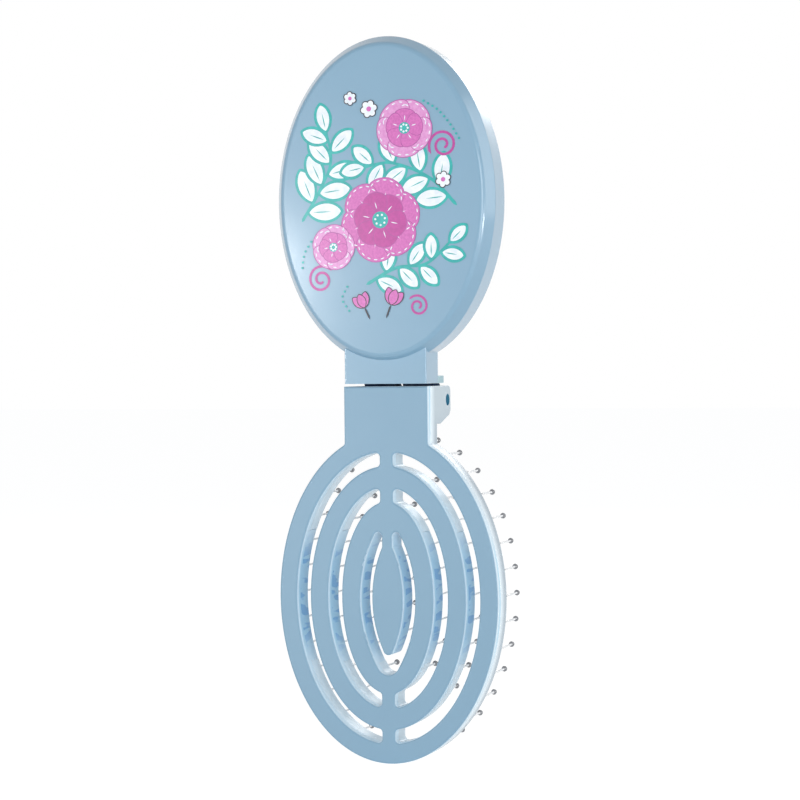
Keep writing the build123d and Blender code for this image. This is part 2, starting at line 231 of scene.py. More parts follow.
def vent_walls_painted_light(tree, place):
    """The walls of a vent, painted paler than the plate as painted light on them, with a painted
    highlight along their lip and more painted light towards their ends. Deeper blue patches lie on the
    collars."""
    spot = add_node(tree, "ShaderNodeSeparateXYZ", {"Vector": place}).outputs
    reach = add_node(tree, "ShaderNodeMath", {0: spot["Z"]}, operation="ABSOLUTE")
    # Painted light: the walls grow paler towards their ends, on the head only.
    toward_wall_ends = add_node(tree, "ShaderNodeMapRange", {
        "Value": reach.outputs[0], "From Min": WALL_END_LIGHT[0], "From Max": WALL_END_LIGHT[1]})
    painted_end_light = add_node(tree, "ShaderNodeMath", {
        0: toward_wall_ends.outputs[0], 1: on_the_head(tree, spot["Z"])}, operation="MULTIPLY")
    # Painted highlight: a pale band along the front of each wall.
    lip = add_node(tree, "ShaderNodeMapRange", {
        "Value": spot["Y"], "From Min": WALL_LIP_HIGHLIGHT[0], "From Max": WALL_LIP_HIGHLIGHT[1],
        "To Min": 1.0, "To Max": 0.0})
    pale = add_node(tree, "ShaderNodeMath", {0: painted_end_light.outputs[0], 1: lip.outputs[0]},
                    operation="MAXIMUM")
    stretch = add_node(tree, "ShaderNodeMapping", {"Vector": place, "Scale": PATCH_STRETCH})
    cloud = add_node(tree, "ShaderNodeTexNoise", {
        "Vector": stretch.outputs[0], "Scale": 1 / PATCH_SIZE, "Detail": 1})
    patch = add_node(tree, "ShaderNodeMapRange", {
        "Value": cloud.outputs[0], "From Min": PATCH_EDGE[0], "From Max": PATCH_EDGE[1]})
    on_collar = add_node(tree, "ShaderNodeMath", {0: spot["Y"], 1: COLLAR_FRONT},
                         operation="GREATER_THAN")
    patched = add_node(tree, "ShaderNodeMath", {0: patch.outputs[0], 1: on_collar.outputs[0]},
                       operation="MULTIPLY")
    # A pale blue for the painted light on the walls, with deeper blue patches on the collars.
    mottled = add_node(tree, "ShaderNodeMix", {
        "Factor": patched.outputs[0], "A": linear("#B8DFF2"), "B": linear("#7DBAE2")}, data_type="RGBA")
    painted_wall_light = add_node(tree, "ShaderNodeMix", {
        "Factor": pale.outputs[0], "A": mottled.outputs["Result"], "B": linear("#DEF1FC")},
        data_type="RGBA")
    return painted_wall_light.outputs["Result"]


def hinge_shade_cover(tree, place, top):
    """1 where shade is painted on the hinge lugs, up to a height and in front of the pin, and 0 elsewhere.
    """
    spot = add_node(tree, "ShaderNodeSeparateXYZ", {"Vector": place}).outputs
    low = add_node(tree, "ShaderNodeMapRange", {
        "Value": spot["Z"], "From Min": top - HINGE_SHADE_EDGE, "From Max": top,
        "To Min": 1.0, "To Max": 0.0})
    in_front = add_node(tree, "ShaderNodeMapRange", {
        "Value": spot["Y"], "From Min": PIN_MIDDLE.y, "From Max": PIN_MIDDLE.y + HINGE_SHADE_WIPE,
        "To Min": 1.0, "To Max": 0.0})
    cover = add_node(tree, "ShaderNodeMath", {0: low.outputs[0], 1: in_front.outputs[0]},
                     operation="MULTIPLY")
    return cover.outputs[0]


def moulded_abs(name, shade, deep_shade, roughness, coat, hinge_shade_top=None, paints_vent_walls=False):
    """Satin ABS from a lightly textured mould: an even pastel with a soft, broad shine, which a coat
    of lacquer sharpens. Painted shade can cover the hinge lugs with a dull blue-black film, and painted
    light can pale the vent walls. The mould's texture is finer on the real one, and is drawn as coarse as
    it needs to show."""
    finish, tree = new_finish(name)
    place = add_node(tree, "ShaderNodeTexCoord").outputs["Object"]
    flow = add_node(tree, "ShaderNodeTexNoise", {"Vector": place, "Scale": 1 / (14 * MM), "Detail": 2})
    shaded = add_node(tree, "ShaderNodeMix", {
        "Factor": flow.outputs[0], "A": linear(shade), "B": linear(deep_shade)}, data_type="RGBA")
    colour = shaded.outputs["Result"]
    sheen = add_node(tree, "ShaderNodeTexNoise", {"Vector": place, "Scale": 1 / (5 * MM), "Detail": 3})
    satin = add_node(tree, "ShaderNodeMapRange", {
        "Value": sheen.outputs[0], "To Min": roughness - SATIN_SPREAD, "To Max": roughness + SATIN_SPREAD})
    rough = satin.outputs[0]
    # Painted light on the walls of the vents.
    if paints_vent_walls:
        walled = add_node(tree, "ShaderNodeMix", {
            "Factor": on_a_wall(tree), "A": colour, "B": vent_walls_painted_light(tree, place)},
            data_type="RGBA")
        colour = walled.outputs["Result"]
    if hinge_shade_top is not None:
        cover = hinge_shade_cover(tree, place, hinge_shade_top)
        # Painted shade: the lugs, seen through the narrow hinge gap, are painted blue-black and dulled.
        painted_hinge_shade = add_node(tree, "ShaderNodeMix", {
            "Factor": cover, "A": colour, "B": linear("#001C40")}, data_type="RGBA")
        colour = painted_hinge_shade.outputs["Result"]
        dulled = add_node(tree, "ShaderNodeMath", {0: rough, 1: cover}, operation="MAXIMUM")
        rough = dulled.outputs[0]
    grain = add_node(tree, "ShaderNodeTexNoise", {"Vector": place, "Scale": 1 / (0.3 * MM), "Detail": 2})
    bump = add_node(tree, "ShaderNodeBump", {
        "Height": grain.outputs[0], "Strength": 0.12, "Distance": 0.01 * MM})
    shader = add_node(tree, "ShaderNodeBsdfPrincipled", {
        "Base Color": colour, "Roughness": rough, "IOR": 1.54, "Coat Weight": coat,
        "Coat Roughness": 0.145, "Normal": bump.outputs[0]})
    add_node(tree, "ShaderNodeOutputMaterial", {"Surface": shader.outputs[0]})
    return finish


def outer_side_shade_mask(tree, place):
    """Where painted shade falls on the carrier: 1 at the back of its outer side and neck, and fading to 0
    towards the front.
    """
    depth = add_node(tree, "ShaderNodeSeparateXYZ", {"Vector": place}).outputs["Y"]
    far = add_node(tree, "ShaderNodeMapRange", {
        "Value": depth, "From Min": OUTER_SHADE_DEPTH[0], "From Max": OUTER_SHADE_DEPTH[1]})
    shares = add_node(tree, "ShaderNodeVectorMath", {
        0: place, 1: (1 / CARRIER_HIGH.x, 0, -1 / CARRIER_LOW.z)}, operation="MULTIPLY")
    spread = add_node(tree, "ShaderNodeVectorMath", {0: shares.outputs[0], 1: shares.outputs[0]},
                      operation="DOT_PRODUCT")
    outside = add_node(tree, "ShaderNodeMath", {0: spread.outputs["Value"], 1: RIM_SHARE},
                       operation="GREATER_THAN")
    far_outside = add_node(tree, "ShaderNodeMath", {0: far.outputs[0], 1: outside.outputs[0]},
                           operation="MULTIPLY")
    return far_outside.outputs[0]


def in_pin_hole(tree, place):
    """1 on the walls of the pin's holes, and 0 elsewhere."""
    from_pin = add_node(tree, "ShaderNodeVectorMath", {0: place, 1: PIN_MIDDLE}, operation="SUBTRACT")
    across = add_node(tree, "ShaderNodeVectorMath", {0: from_pin.outputs[0], 1: (0, 1, 1)},
                      operation="MULTIPLY")
    off_axis = add_node(tree, "ShaderNodeVectorMath", {0: across.outputs[0]}, operation="LENGTH")
    inside = add_node(tree, "ShaderNodeMath", {0: off_axis.outputs["Value"], 1: PIN_REACH},
                      operation="LESS_THAN")
    return inside.outputs[0]


def milky_styrene():
    """Milky white polystyrene from a polished mould: cool and even, with a clear soft gloss. Its walls are
    painted paler and bluer, as painted light bounced from the plate in front, and painted shade greys the
    outer side towards the back, round the head most of all. The walls of the pin's holes are painted shade."""
    finish, tree = new_finish("moulded_styrene_milky")
    place = add_node(tree, "ShaderNodeTexCoord").outputs["Object"]
    height = add_node(tree, "ShaderNodeSeparateXYZ", {"Vector": place}).outputs["Z"]
    wall = on_a_wall(tree)
    flow = add_node(tree, "ShaderNodeTexNoise", {"Vector": place, "Scale": 1 / (9 * MM), "Detail": 2})
    milky = add_node(tree, "ShaderNodeMix", {
        "Factor": flow.outputs[0], "A": linear("#DEE8F0"), "B": linear("#D5E0EA")}, data_type="RGBA")
    # Painted reflection: the walls are painted paler and bluer, as light bounced from the blue plate.
    plate_blue_bounce = add_node(tree, "ShaderNodeMix", {
        "Factor": wall, "A": milky.outputs["Result"], "B": linear("#E6F5FD")}, data_type="RGBA")
    # Painted shade: the outer side greys towards the back, darker round the head than on the neck.
    outer_side_shade = add_node(tree, "ShaderNodeMix", {
        "Factor": on_the_head(tree, height), "A": linear("#BACAD3"), "B": linear("#A5B6C2")},
        data_type="RGBA")
    painted_side_shade = add_node(tree, "ShaderNodeMath", {0: outer_side_shade_mask(tree, place), 1: wall},
                        operation="MULTIPLY")
    shaded = add_node(tree, "ShaderNodeMix", {
        "Factor": painted_side_shade.outputs[0], "A": plate_blue_bounce.outputs["Result"], "B": outer_side_shade.outputs["Result"]},
        data_type="RGBA")
    # Painted shade: the walls of the pin's holes are painted teal-blue, as shade in the recess.
    painted_hinge_shade = add_node(tree, "ShaderNodeMix", {
        "Factor": in_pin_hole(tree, place), "A": shaded.outputs["Result"], "B": linear("#4C91AD")},
        data_type="RGBA")
    rough = add_node(tree, "ShaderNodeMapRange", {"Value": flow.outputs[0], "To Min": 0.2, "To Max": 0.32})
    grain = add_node(tree, "ShaderNodeTexNoise", {"Vector": place, "Scale": 1 / (0.4 * MM), "Detail": 2})
    bump = add_node(tree, "ShaderNodeBump", {
        "Height": grain.outputs[0], "Strength": 0.1, "Distance": 0.01 * MM})
    shader = add_node(tree, "ShaderNodeBsdfPrincipled", {
        "Base Color": painted_hinge_shade.outputs["Result"], "Roughness": rough.outputs[0], "IOR": 1.58,
        "Normal": bump.outputs[0]})
    add_node(tree, "ShaderNodeOutputMaterial", {"Surface": shader.outputs[0]})
    return finish


def drawn_nylon():
    """Natural nylon pins: milky and nearly colourless, so that light soaks through them and no side
    is dark. The faint lines that drawing leaves are finer on the real ones, and are drawn as coarse
    as they need to show."""
    finish, tree = new_finish("drawn_nylon_natural")
    place = add_node(tree, "ShaderNodeTexCoord").outputs["Object"]
    stretch = add_node(tree, "ShaderNodeMapping", {"Vector": place, "Scale": (1, 0.05, 1)})
    lines = add_node(tree, "ShaderNodeTexNoise", {"Vector": stretch.outputs[0], "Scale": 1 / (0.2 * MM)})
    rough = add_node(tree, "ShaderNodeMapRange", {"Value": lines.outputs[0], "To Min": 0.1, "To Max": 0.3})
    shader = add_node(tree, "ShaderNodeBsdfPrincipled", {
        "Base Color": linear("#F3F5F7"), "Roughness": rough.outputs[0], "IOR": 1.53,
        "Subsurface Weight": 1.0, "Subsurface Radius": (1, 1, 1), "Subsurface Scale": 0.6 * MM})
    add_node(tree, "ShaderNodeOutputMaterial", {"Surface": shader.outputs[0]})
    return finish


def dipped_epoxy():
    """Smoky epoxy beads: each bristle's tip is dipped, which leaves a smooth, wet-looking drop."""
    finish, tree = new_finish("dipped_epoxy_grey")
    place = add_node(tree, "ShaderNodeTexCoord").outputs["Object"]
    cloud = add_node(tree, "ShaderNodeTexNoise", {"Vector": place, "Scale": 1 / (1.2 * MM), "Detail": 1})
    colour = add_node(tree, "ShaderNodeMix", {
        "Factor": cloud.outputs[0], "A": linear("#A2A4A8"), "B": linear("#86888D")}, data_type="RGBA")
    shader = add_node(tree, "ShaderNodeBsdfPrincipled", {
        "Base Color": colour.outputs["Result"], "Roughness": 0.12, "IOR": 1.56,
        "Transmission Weight": 0.5})
    add_node(tree, "ShaderNodeOutputMaterial", {"Surface": shader.outputs[0]})
    return finish


def turned_acetal():
    """Blue acetal rod, cut to length, with a fine uneven grain. Its blue is painted darker than the body's
    and it has no gloss, as painted shade in the ear's recess.
    """
    finish, tree = new_finish("turned_acetal_blue")
    place = add_node(tree, "ShaderNodeTexCoord").outputs["Object"]
    grain = add_node(tree, "ShaderNodeTexNoise", {"Vector": place, "Scale": 1 / (0.25 * MM), "Detail": 3})
    # Painted shade: a darker teal-blue than the body's plastic.
    colour = add_node(tree, "ShaderNodeMix", {
        "Factor": grain.outputs[0], "A": linear("#5A93AD"), "B": linear("#44788F")}, data_type="RGBA")
    bump = add_node(tree, "ShaderNodeBump", {
        "Height": grain.outputs[0], "Strength": 0.3, "Distance": 0.01 * MM})
    shader = add_node(tree, "ShaderNodeBsdfPrincipled", {
        "Base Color": colour.outputs["Result"], "Roughness": 0.4, "IOR": 1.48, "Specular IOR Level": 0.0,
        "Normal": bump.outputs[0]})
    add_node(tree, "ShaderNodeOutputMaterial", {"Surface": shader.outputs[0]})
    return finish


def silvered_glass():
    """Float glass silvered behind: a clean mirror with only a breath of haze on it."""
    finish, tree = new_finish("silvered_glass")
    place = add_node(tree, "ShaderNodeTexCoord").outputs["Object"]
    haze = add_node(tree, "ShaderNodeTexNoise", {"Vector": place, "Scale": 1 / (11 * MM), "Detail": 4})
    rough = add_node(tree, "ShaderNodeMapRange", {
        "Value": haze.outputs[0], "To Min": 0.015, "To Max": 0.05})
    shader = add_node(tree, "ShaderNodeBsdfPrincipled", {
        "Base Color": linear("#EDF3F2"), "Metallic": 1.0, "Roughness": rough.outputs[0]})
    add_node(tree, "ShaderNodeOutputMaterial", {"Surface": shader.outputs[0]})
    return finish


def foam_tape():
    """White polyethylene foam tape: dull, with open cells about a third of a millimetre across."""
    finish, tree = new_finish("foam_tape_white")
    place = add_node(tree, "ShaderNodeTexCoord").outputs["Object"]
    cells = add_node(tree, "ShaderNodeTexVoronoi", {"Vector": place, "Scale": 1 / (0.35 * MM)})
    colour = add_node(tree, "ShaderNodeMix", {
        "Factor": cells.outputs["Distance"], "A": linear("#F2F2EE"), "B": linear("#C9CAC6")},
        data_type="RGBA")
    bump = add_node(tree, "ShaderNodeBump", {
        "Height": cells.outputs["Distance"], "Strength": 0.6, "Distance": 0.1 * MM})
    shader = add_node(tree, "ShaderNodeBsdfPrincipled", {
        "Base Color": colour.outputs["Result"], "Roughness": 0.9, "IOR": 1.5, "Normal": bump.outputs[0]})
    add_node(tree, "ShaderNodeOutputMaterial", {"Surface": shader.outputs[0]})
    return finish


def pad_ink(name, colour, second_colour, grain_size):
    """Pad-printing ink: a flat, slightly glossy film whose cover varies a little from dab to dab."""
    finish, tree = new_finish(name)
    place = add_node(tree, "ShaderNodeTexCoord").outputs["Object"]
    dabs = add_node(tree, "ShaderNodeTexNoise", {
        "Vector": place, "Scale": 1 / grain_size, "Detail": 4, "Roughness": 0.6})
    spread = add_node(tree, "ShaderNodeMapRange", {
        "Value": dabs.outputs[0], "From Min": DAB_EDGE[0], "From Max": DAB_EDGE[1]})
    mixed = add_node(tree, "ShaderNodeMix", {
        "Factor": spread.outputs[0], "A": linear(colour), "B": linear(second_colour)}, data_type="RGBA")
    shader = add_node(tree, "ShaderNodeBsdfPrincipled", {
        "Base Color": mixed.outputs["Result"], "Roughness": 0.34, "IOR": 1.5})
    add_node(tree, "ShaderNodeOutputMaterial", {"Surface": shader.outputs[0]})
    return finish


# ---------------------------------------------------------------- bristles

def mesh_object(name, points, edges=(), faces=()):
    mesh = bpy.data.meshes.new(name)
    mesh.from_pydata(points, edges, faces)
    mesh.validate()
    thing = bpy.data.objects.new(name, mesh)
    bpy.context.scene.collection.objects.link(thing)
    return thing


def one_bristle():
    """A pin turned about Y, its root at y = 0: flat head, straight shank and ball tip."""
    length = BRISTLE_TIP_Y - BRISTLE_ROOT_Y
    ball_middle = length - BALL_RADIUS
    first_angle = math.asin(SHANK_RADIUS / BALL_RADIUS)
    angles = [first_angle + (math.pi - first_angle) * i / BALL_RINGS for i in range(BALL_RINGS)]
    ball = [(ball_middle - BALL_RADIUS * math.cos(a), BALL_RADIUS * math.sin(a)) for a in angles]
    rings = [(0, HEAD_RADIUS), (HEAD_THICK, HEAD_RADIUS), (HEAD_THICK, SHANK_RADIUS)] + ball
    points = [(0, 0, 0)]
    for y, radius in rings:
        for side in range(BRISTLE_SIDES):
            turn = 2 * math.pi * side / BRISTLE_SIDES
            points.append((radius * math.cos(turn), y, radius * math.sin(turn)))
    points.append((0, length, 0))
    faces = []
    for side in range(BRISTLE_SIDES):
        following = (side + 1) % BRISTLE_SIDES
        faces.append((0, 1 + side, 1 + following))
        for ring in range(len(rings) - 1):
            low = 1 + ring * BRISTLE_SIDES
            high = low + BRISTLE_SIDES
            faces.append((low + side, high + side, high + following, low + following))
        faces.append((high + side, len(points) - 1, high + following))
    pin = mesh_object("one_bristle", points, faces=faces)
    pin.data.shade_smooth()
    return pin


def row_tree():
    """Stands bristles at even steps along a line, then makes them one mesh: nylon, with epoxy tips."""
    tree = bpy.data.node_groups.new("bristles_along_a_row", "GeometryNodeTree")
    for name, kind in (("Line", "NodeSocketGeometry"), ("Count", "NodeSocketInt"),
                       ("Bristle", "NodeSocketObject"), ("Tip from", "NodeSocketFloat"),
                       ("Pin finish", "NodeSocketMaterial"), ("Tip finish", "NodeSocketMaterial")):
        tree.interface.new_socket(name, in_out="INPUT", socket_type=kind)
    tree.interface.new_socket("Bristles", in_out="OUTPUT", socket_type="NodeSocketGeometry")
    given = add_node(tree, "NodeGroupInput").outputs
    line = add_node(tree, "GeometryNodeMeshToCurve", {"Mesh": given["Line"]})
    steps = add_node(tree, "GeometryNodeResampleCurve", {"Curve": line.outputs[0], "Count": given["Count"]})
    pin = add_node(tree, "GeometryNodeObjectInfo", {"Object": given["Bristle"]})
    stood = add_node(tree, "GeometryNodeInstanceOnPoints", {
        "Points": steps.outputs[0], "Instance": pin.outputs["Geometry"]})
    solid = add_node(tree, "GeometryNodeRealizeInstances", {"Geometry": stood.outputs[0]})
    place = add_node(tree, "GeometryNodeInputPosition")
    depth = add_node(tree, "ShaderNodeSeparateXYZ", {"Vector": place.outputs[0]})
    at_tip = add_node(tree, "FunctionNodeCompare", {"A": depth.outputs["Y"], "B": given["Tip from"]},
                      operation="GREATER_THAN")
    nylon = add_node(tree, "GeometryNodeSetMaterial", {
        "Geometry": solid.outputs[0], "Material": given["Pin finish"]})
    tips = add_node(tree, "GeometryNodeSetMaterial", {
        "Geometry": nylon.outputs[0], "Selection": at_tip.outputs[0], "Material": given["Tip finish"]})
    add_node(tree, "NodeGroupOutput", {"Bristles": tips.outputs[0]})
    return tree


def made_by(tree, name, base, values):
    """What a tree makes of a base object, as a plain mesh object of its own. The base is removed."""
    modifier = base.modifiers.new("maker", "NODES")
    modifier.node_group = tree
    for socket in tree.interface.items_tree:
        if socket.in_out == "INPUT" and socket.name in values:
            modifier[socket.identifier] = values[socket.name]
    base.update_tag()
    ready = base.evaluated_get(bpy.context.evaluated_depsgraph_get())
    mesh = bpy.data.meshes.new_from_object(ready)
    bpy.data.objects.remove(base)
    thing = bpy.data.objects.new(name, mesh)
    mesh.name = name
    bpy.context.scene.collection.objects.link(thing)
    return thing


def oval_line(name, half_width, half_height):
    points = [(half_width * math.cos(2 * math.pi * i / OVAL_STEPS), BRISTLE_ROOT_Y,
               half_height * math.sin(2 * math.pi * i / OVAL_STEPS)) for i in range(OVAL_STEPS)]
    edges = [(i, (i + 1) % OVAL_STEPS) for i in range(OVAL_STEPS)]
    return mesh_object(name, points, edges)


def plant_bristles(nylon, epoxy):
    tree = row_tree()
    pin = one_bristle()
    values = {"Bristle": pin, "Tip from": BRISTLE_TIP_Y - 2 * BALL_RADIUS, "Pin finish": nylon,
              "Tip finish": epoxy}
    rows = []
    for node, count in ROW_COUNTS.items():
        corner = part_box(node)[1]
        line = oval_line(node + "_line", corner.x - HEAD_RADIUS, corner.z - HEAD_RADIUS)
        rows.append((node, line, count))
    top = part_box("island_bristles")[1].z - HEAD_RADIUS
    ends = [(0, BRISTLE_ROOT_Y, -top), (0, BRISTLE_ROOT_Y, top)]
    rows.append(("island_bristles", mesh_object("island_line", ends, [(0, 1)]), ISLAND_COUNT))
    for node, line, count in rows:
        row = made_by(tree, node + "_drawn", line, {"Count": count, **values})
        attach(row, "brush")
        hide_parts(node)
    bpy.data.objects.remove(pin)


# ---------------------------------------------------------------- print on the lid

def heading(angle):
    """The flat step of one metre at an angle, from the lid's right-hand side towards its top."""
    return Vector((math.cos(angle), math.sin(angle)))


def blade_rungs(base, angle, length, half_width, shape, grow):
    """Left and right edge points of a petal, leaf or dot, from its base to its tip. The shape's first
    number is 0.5 for round ends and 1 for sharp ones, and its second puts the widest place nearer
    the tip when it is over 1. grow widens it all round."""
    point, lean = shape
    along = heading(angle)
    side = Vector((-along.y, along.x))
    start = base - along * grow
    rungs = []
    for step in range(BLADE_STEPS + 1):
        share = (1 - math.cos(math.pi * step / BLADE_STEPS)) / 2
        swell = (4 * share**lean * (1 - share**lean)) ** point
        middle = start + along * (length + 2 * grow) * share
        wide = side * (half_width + grow) * swell
        rungs.append((middle - wide, middle + wide))
    return rungs


def marks_tree():
    """Repeats a mark of ink at a pitch along flat lines, turned with them and laid on the dome."""
    tree = bpy.data.node_groups.new("marks_along_a_line", "GeometryNodeTree")
    for name, kind in (("Lines", "NodeSocketGeometry"), ("Mark", "NodeSocketObject"),
                       ("Pitch", "NodeSocketFloat"), ("Crown", "NodeSocketFloat"),
                       ("Face", "NodeSocketFloat"), ("Middle height", "NodeSocketFloat"),
                       ("Ink", "NodeSocketMaterial")):
        tree.interface.new_socket(name, in_out="INPUT", socket_type=kind)
    tree.interface.new_socket("Marks", in_out="OUTPUT", socket_type="NodeSocketGeometry")
    given = add_node(tree, "NodeGroupInput").outputs
    line = add_node(tree, "GeometryNodeMeshToCurve", {"Mesh": given["Lines"]})
    steps = add_node(tree, "GeometryNodeResampleCurve", {
        "Curve": line.outputs[0], "Length": given["Pitch"]}, mode="LENGTH")
    tangent = add_node(tree, "GeometryNodeInputTangent")
    turned = add_node(tree, "FunctionNodeAlignRotationToVector", {"Vector": tangent.outputs[0]},
                      axis="X", pivot_axis="Y")
    mark = add_node(tree, "GeometryNodeObjectInfo", {"Object": given["Mark"]})
    laid = add_node(tree, "GeometryNodeInstanceOnPoints", {
        "Points": steps.outputs[0], "Instance": mark.outputs["Geometry"], "Rotation": turned.outputs[0]})
    solid = add_node(tree, "GeometryNodeRealizeInstances", {"Geometry": laid.outputs[0]})

    # How far the dome falls back from its middle: distance squared over twice its radius
    place = add_node(tree, "GeometryNodeInputPosition")
    spot = add_node(tree, "ShaderNodeSeparateXYZ", {"Vector": place.outputs[0]}).outputs
    rise = add_node(tree, "ShaderNodeMath", {0: spot["Z"], 1: given["Middle height"]}, operation="SUBTRACT")
    reach = add_node(tree, "ShaderNodeCombineXYZ", {"X": spot["X"], "Z": rise.outputs[0]})
    squared = add_node(tree, "ShaderNodeVectorMath", {0: reach.outputs[0], 1: reach.outputs[0]},
                       operation="DOT_PRODUCT")
    twice = add_node(tree, "ShaderNodeMath", {0: given["Crown"], 1: 2.0}, operation="MULTIPLY")
    drop = add_node(tree, "ShaderNodeMath", {0: squared.outputs["Value"], 1: twice.outputs[0]},
                    operation="DIVIDE")
    depth = add_node(tree, "ShaderNodeMath", {0: given["Face"], 1: drop.outputs[0]}, operation="ADD")
    draped = add_node(tree, "ShaderNodeCombineXYZ", {
        "X": spot["X"], "Y": depth.outputs[0], "Z": spot["Z"]})
    moved = add_node(tree, "GeometryNodeSetPosition", {
        "Geometry": solid.outputs[0], "Position": draped.outputs[0]})
    inked = add_node(tree, "GeometryNodeSetMaterial", {
        "Geometry": moved.outputs[0], "Material": given["Ink"]})
    add_node(tree, "NodeGroupOutput", {"Marks": inked.outputs[0]})
    return tree


def oval_mark(name, half_length, half_width):
    """A flat oval that faces -Y, long along X."""
    turns = [2 * math.pi * i / MARK_SIDES for i in range(MARK_SIDES)]
    points = [(half_length * math.cos(turn), 0, half_width * math.sin(turn)) for turn in turns]
    return mesh_object(name, points, faces=[tuple(range(MARK_SIDES))])


class Print:
    """The films of ink on the lid's domed face, each shape a hair above the one before."""

    def __init__(self):
        self.films = {}
        self.laid = 0
        self.dashed_paths = []
        self.dotted_paths = []

    def film(self, ink):
        if ink not in self.films:
            self.films[ink] = bmesh.new()
        return self.films[ink]

    def on_face(self, x, z):
        """A point of the domed face, x and z from the lid's middle, at the height of the latest film."""
        drop = LID_CROWN - math.sqrt(LID_CROWN**2 - x**2 - z**2)
        lift = FIRST_FILM + FILM_STEP * self.laid
        return Vector((x, LID_FACE_Y + drop - lift, LID_MIDDLE_Z + z))

    def strip(self, ink, rungs):
        """Fills the strip between pairs of points, given as (left, right) from one end to the other."""
        self.laid += 1
        film = self.film(ink)
        rows = []
        for left, right in rungs:
            across = [left.lerp(right, share) for share in ACROSS_STRIP]
            rows.append([film.verts.new(self.on_face(spot.x, spot.y)) for spot in across])
        for low, high in zip(rows, rows[1:]):
            for i in range(len(low) - 1):
                film.faces.new((low[i], low[i + 1], high[i + 1], high[i]))

    def blade(self, ink, base, angle, length, half_width, shape=ROUND, grow=0.0):
        self.strip(ink, blade_rungs(base, angle, length, half_width, shape, grow))

    def dot(self, ink, middle, radius):
        self.blade(ink, middle - Vector((radius, 0)), 0, 2 * radius, radius)

    def stroke(self, ink, path, half_width, taper=0.0):
        """A line of ink with round ends along a path, thinner towards its end by the share taper."""
        lengths = [0.0]
        for before, after in zip(path, path[1:]):
            lengths.append(lengths[-1] + (after - before).length)
        whole = lengths[-1]
        rungs = []
        for i, point in enumerate(path):
            along = (path[min(i + 1, len(path) - 1)] - path[max(i - 1, 0)]).normalized()
            side = Vector((-along.y, along.x))
            end_gap = min(lengths[i], whole - lengths[i])
            rounding = math.sqrt(max(0.0, 1 - max(0.0, 1 - end_gap / half_width) ** 2))
            wide = side * half_width * rounding * (1 - taper * lengths[i] / whole)
            rungs.append((point - wide, point + wide))
        self.strip(ink, rungs)

    def marks(self, name, tree, paths, mark, pitch, ink):
        """A row of marks along each of the flat paths, over every film. The mark is then removed."""
        points = []
        edges = []
        for path in paths:
            first = len(points)
            points += [(spot.x, 0, LID_MIDDLE_Z + spot.y) for spot in path]
            edges += [(i, i + 1) for i in range(first, len(points) - 1)]
        lines = mesh_object(name + "_lines", points, edges)
        row = made_by(tree, name, lines, {
            "Mark": mark, "Pitch": pitch, "Crown": LID_CROWN, "Face": LID_FACE_Y - MARK_LIFT,
            "Middle height": LID_MIDDLE_Z, "Ink": ink})
        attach(row, "mirror_lid")
        bpy.data.objects.remove(mark)

    def finish(self, inks):
        tree = marks_tree()
        self.marks("print_dashes", tree, self.dashed_paths, oval_mark("dash", *DASH_HALF), DASH_PITCH,
                   inks["white"])
        self.marks("print_dots", tree, self.dotted_paths, oval_mark("dot", DOT_RADIUS, DOT_RADIUS),
                   DOT_PITCH, inks["teal"])
        for ink, film in self.films.items():
            bmesh.ops.remove_doubles(film, verts=film.verts, dist=MERGE_REACH)
            bmesh.ops.dissolve_degenerate(film, edges=film.edges, dist=MERGE_REACH)
            for face in film.faces:
                if face.normal.y > 0:
                    face.normal_flip()
                face.smooth = True
            mesh = bpy.data.meshes.new("print_" + ink)
            film.to_mesh(mesh)
            film.free()
            mesh.materials.append(inks[ink])
            piece = bpy.data.objects.new("print_" + ink, mesh)
            bpy.context.scene.collection.objects.link(piece)
            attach(piece, "mirror_lid")


def curve(points, steps=12):
    """A smooth path through a few points, given in millimetres (a Catmull-Rom spline)."""
    spots = [Vector(p) * MM for p in points]
    spots = [2 * spots[0] - spots[1]] + spots + [2 * spots[-1] - spots[-2]]
    path = []
    for a, b, c, d in zip(spots, spots[1:], spots[2:], spots[3:]):
        for step in range(steps):
            t = step / steps
            path.append(0.5 * (2 * b + (c - a) * t + (2 * a - 5 * b + 4 * c - d) * t**2
                               + (3 * b - a - 3 * c + d) * t**3))
    path.append(spots[-2])
    return path


def curl(middle, radius, start, turns, steps=40):
    """A spiral that winds in towards its middle, in millimetres. Its angles are in turns."""
    path = []
    for step in range(steps + 1):
        share = step / steps
        angle = 2 * math.pi * (start + turns * share)
        reach = radius * MM * (1 - CURL_IN * share)
        path.append(Vector(middle) * MM + heading(angle) * reach)
    return path


def blossom(sheet, middle, radius, petals, turn, inks):
    """A round flower: two rings of petals, the outer ones stitched round, and a dotted heart."""
    petal_ink, shade_ink, heart_ink = inks
    middle = Vector(middle) * MM
    for ring, (share, ink) in enumerate(((1.0, petal_ink), (INNER_RING, shade_ink))):
        length = share * radius * MM
        width = length * math.tan(math.pi / petals) * PETAL_FILL
        for i in range(petals):
            angle = turn + 2 * math.pi * (i + ring / 2) / petals
            sheet.blade("plum", middle, angle, length, width, PETAL, PETAL_EDGE)
            sheet.blade(ink, middle, angle, length, width, PETAL)
            tip = middle + heading(angle) * length
            sheet.stroke("white", [middle.lerp(tip, way) for way in PETAL_VEIN], *PETAL_VEIN_PEN)
            if ring == 0:
                rungs = blade_rungs(middle, angle, length, width, PETAL, -STITCH_INSET)
                outer_rungs = rungs[BLADE_STEPS // 2 + 1:-1]
                left = [rung[0] for rung in outer_rungs]
                right = [rung[1] for rung in outer_rungs]
                sheet.dashed_paths.append(left + right[::-1])
    heart = HEART * radius * MM
    sheet.dot(heart_ink, middle, heart)
    for i in range(SEEDS):
        angle = turn + 2 * math.pi * i / SEEDS
        sheet.dot("white", middle + heading(angle) * heart * SEED_RING, SEED_RADIUS)


